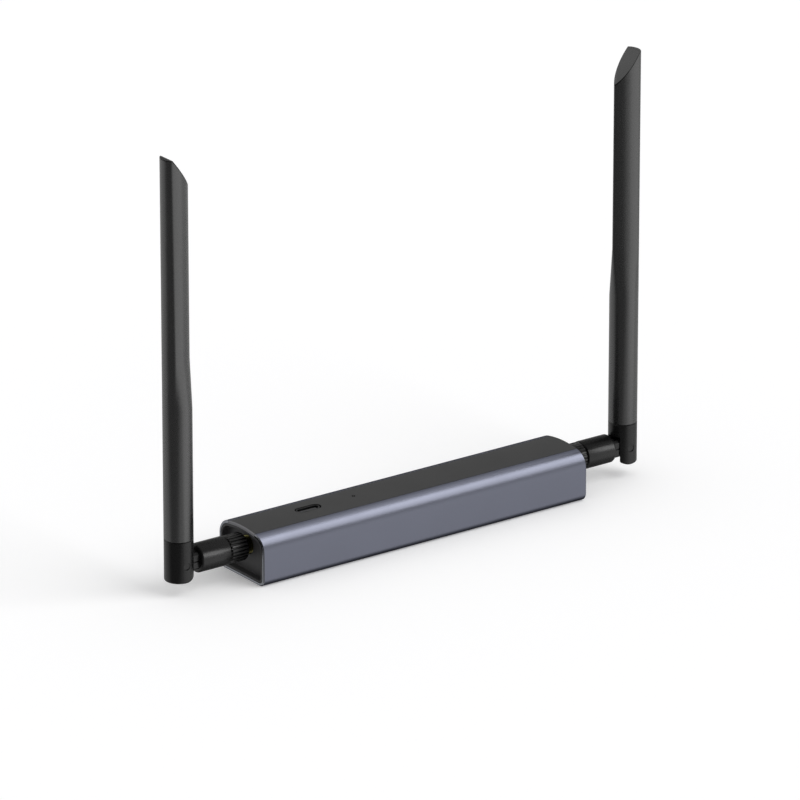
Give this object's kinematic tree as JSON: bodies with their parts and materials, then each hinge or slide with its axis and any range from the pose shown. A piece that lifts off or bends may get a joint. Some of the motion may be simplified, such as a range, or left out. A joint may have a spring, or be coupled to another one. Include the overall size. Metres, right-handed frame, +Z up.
{
  "type": "zigbee gateway",
  "caption": "Slim aluminium radio gateway box with an upward USB-C socket and a folding, swivelling blade antenna on each end.",
  "frame": {"origin": "middle of the case's flat underside", "axes": "+X along the case towards the end farther from the USB socket, +Z up from the underside, -Y the front long side"},
  "size_m": [0.1954, 0.026, 0.1535],
  "materials": {
    "sleeve_aluminium": "satin",
    "cover_plastic": "matte",
    "cap_plastic": "matte",
    "circuit_board": "satin",
    "module_board": "satin",
    "shield_steel": "satin",
    "socket_steel": "satin",
    "socket_plastic": "matte",
    "led_body": "gloss",
    "clear_plastic": "gloss",
    "chip_plastic": "matte",
    "gold_brass": "polished",
    "white_insulator": "satin",
    "nut_metal": "satin",
    "antenna_plastic": "satin",
    "blade_plastic": "satin",
    "cable_jacket": "satin",
    "radiator_brass": "satin"
  },
  "bodies": {
    "case": {"sleeve": "sleeve_aluminium", "top_cover": "cover_plastic", "main_board": "circuit_board", "usb_shell": "socket_steel", "usb_insert": "socket_plastic", "status_led": "led_body", "light_pipe": "clear_plastic", "wifi_module_board": "module_board", "wifi_module_shield": "shield_steel", "zigbee_module_board": "module_board", "zigbee_module_shield": "shield_steel", "usb_serial_chip": "chip_plastic", "voltage_regulator": "chip_plastic", "left_end_cap": "cap_plastic", "left_jack_body": "gold_brass", "left_jack_insulator": "white_insulator", "left_jack_contact": "gold_brass", "left_plug_body": "gold_brass", "left_plug_insulator": "white_insulator", "left_plug_pin": "gold_brass", "right_end_cap": "cap_plastic", "right_jack_body": "gold_brass", "right_jack_insulator": "white_insulator", "right_jack_contact": "gold_brass", "right_plug_body": "gold_brass", "right_plug_insulator": "white_insulator", "right_plug_pin": "gold_brass"},
    "left_nut": {"left_coupling_nut": "nut_metal"},
    "left_swivel": {"left_elbow": "antenna_plastic"},
    "left_antenna": {"left_hinge_base": "antenna_plastic", "left_blade": "blade_plastic", "left_feed_cable": "cable_jacket", "left_radiator_tube": "radiator_brass", "left_radiator_whip": "radiator_brass"},
    "right_nut": {"right_coupling_nut": "nut_metal"},
    "right_swivel": {"right_elbow": "antenna_plastic"},
    "right_antenna": {"right_hinge_base": "antenna_plastic", "right_blade": "blade_plastic", "right_feed_cable": "cable_jacket", "right_radiator_tube": "radiator_brass", "right_radiator_whip": "radiator_brass"}
  },
  "joints": [
    {"name": "left_nut_turn", "type": "hinge", "parent": "case", "child": "left_nut", "pos_m": [-0.0708, 0, 0.0111], "axis": [-1, 0, 0], "continuous": true},
    {"name": "left_swivel", "type": "hinge", "parent": "case", "child": "left_swivel", "pos_m": [-0.08, 0, 0.0111], "axis": [-1, 0, 0], "range_deg": [-180, 180]},
    {"name": "left_tilt", "type": "hinge", "parent": "left_swivel", "child": "left_antenna", "pos_m": [-0.0927, 0, 0.0111], "axis": [0, -1, 0], "range_deg": [0, 90], "deforming": ["left_feed_cable"]},
    {"name": "right_nut_turn", "type": "hinge", "parent": "case", "child": "right_nut", "pos_m": [0.0708, 0, 0.0111], "axis": [1, 0, 0], "continuous": true},
    {"name": "right_swivel", "type": "hinge", "parent": "case", "child": "right_swivel", "pos_m": [0.08, 0, 0.0111], "axis": [1, 0, 0], "range_deg": [-180, 180]},
    {"name": "right_tilt", "type": "hinge", "parent": "right_swivel", "child": "right_antenna", "pos_m": [0.0927, 0, 0.0111], "axis": [0, 1, 0], "range_deg": [0, 90], "deforming": ["right_feed_cable"]}
  ]
}
